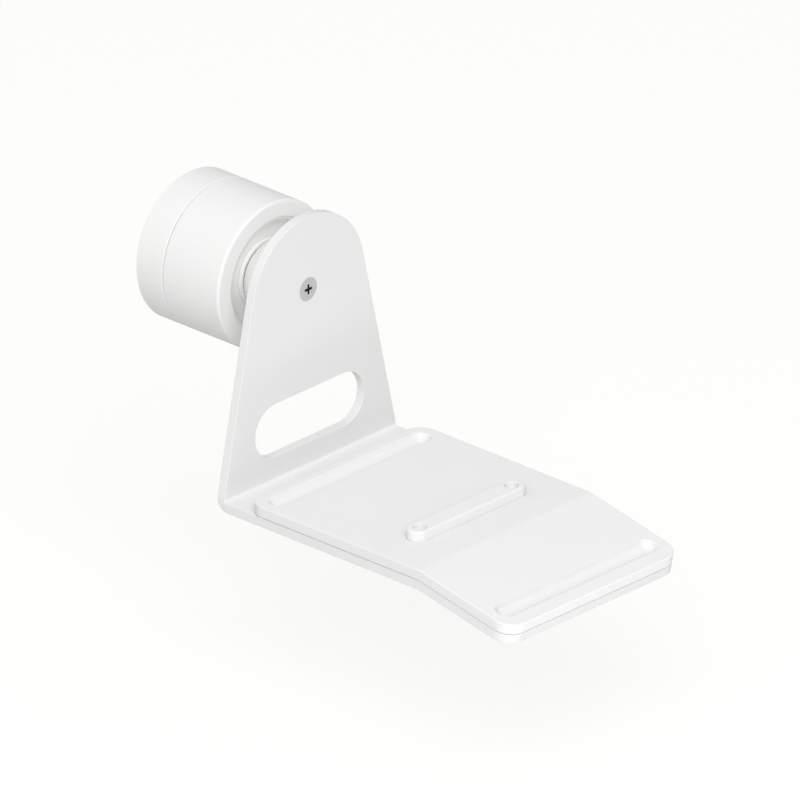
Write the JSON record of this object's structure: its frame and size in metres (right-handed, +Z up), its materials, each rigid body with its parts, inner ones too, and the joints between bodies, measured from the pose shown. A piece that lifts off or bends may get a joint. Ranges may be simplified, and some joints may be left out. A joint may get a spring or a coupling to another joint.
{
  "type": "camera wall bracket",
  "caption": "White wall bracket for a small camera: a drum with a magnetic ball seat carries a bent metal bracket whose padded shelf has grooves and a locating bar.",
  "frame": {"origin": "where the drum's axis meets the wall, on the back of the wall base and its gasket", "axes": "+Y out of the back into the wall, so the bracket reaches out along -Y; +Z up; +X to the right of someone who faces the wall"},
  "size_m": [0.0786, 0.1749, 0.0974],
  "materials": {
    "powder_coat_white": "white powder coat, fine satin texture",
    "housing_white": "white moulded plastic, fine matt texture",
    "seat_white": "white moulded plastic, matt",
    "ball_white": "smooth white enamel",
    "pad_silicone": "white silicone, matt",
    "bar_white": "white moulded plastic, matt",
    "grip_grey": "grey silicone",
    "gasket_grey": "grey foam rubber",
    "screw_steel": "zinc-plated steel",
    "screw_dark": "black oxide steel",
    "magnet_nickel": "nickel plate",
    "cup_steel": "zinc-plated steel",
    "nylon_natural": "natural nylon",
    "tape_grey": "foam tape",
    "insert_brass": "knurled brass"
  },
  "bodies": {
    "base": {"wall_base": "housing_white", "wall_gasket": "gasket_grey"},
    "housing": {"front_housing": "housing_white", "lock_screw": "screw_dark", "retaining_plate": "nylon_natural", "retainer_screws": "screw_steel", "magnet_cup": "cup_steel", "magnet_sleeve": "nylon_natural", "magnet": "magnet_nickel"},
    "seat": {"swivel_ring": "seat_white", "grip_ring": "grip_grey"},
    "ball": {"ball": "ball_white", "friction_washer": "nylon_natural", "pivot_screw": "screw_steel"},
    "bracket": {"bracket": "powder_coat_white", "shelf_pad": "pad_silicone", "pad_tape": "tape_grey", "locating_bar": "bar_white", "bar_inserts": "insert_brass", "bar_screws": "screw_steel"}
  },
  "joints": [
    {"name": "twist_lock", "type": "hinge", "parent": "base", "child": "housing", "pos_m": [0, -0.0141, 0], "axis": [0, -1, 0], "range_deg": [0, 25]},
    {"name": "seat_swivel", "type": "hinge", "parent": "housing", "child": "seat", "pos_m": [0, -0.0445, 0], "axis": [0, -1, 0], "continuous": true},
    {"name": "ball_tilt", "type": "hinge", "parent": "seat", "child": "ball", "pos_m": [0, -0.0445, 0], "axis": [1, 0, 0], "range_deg": [-25, 25]},
    {"name": "bracket_turn", "type": "hinge", "parent": "ball", "child": "bracket", "pos_m": [0, -0.0481, 0], "axis": [0, -1, 0], "continuous": true}
  ]
}
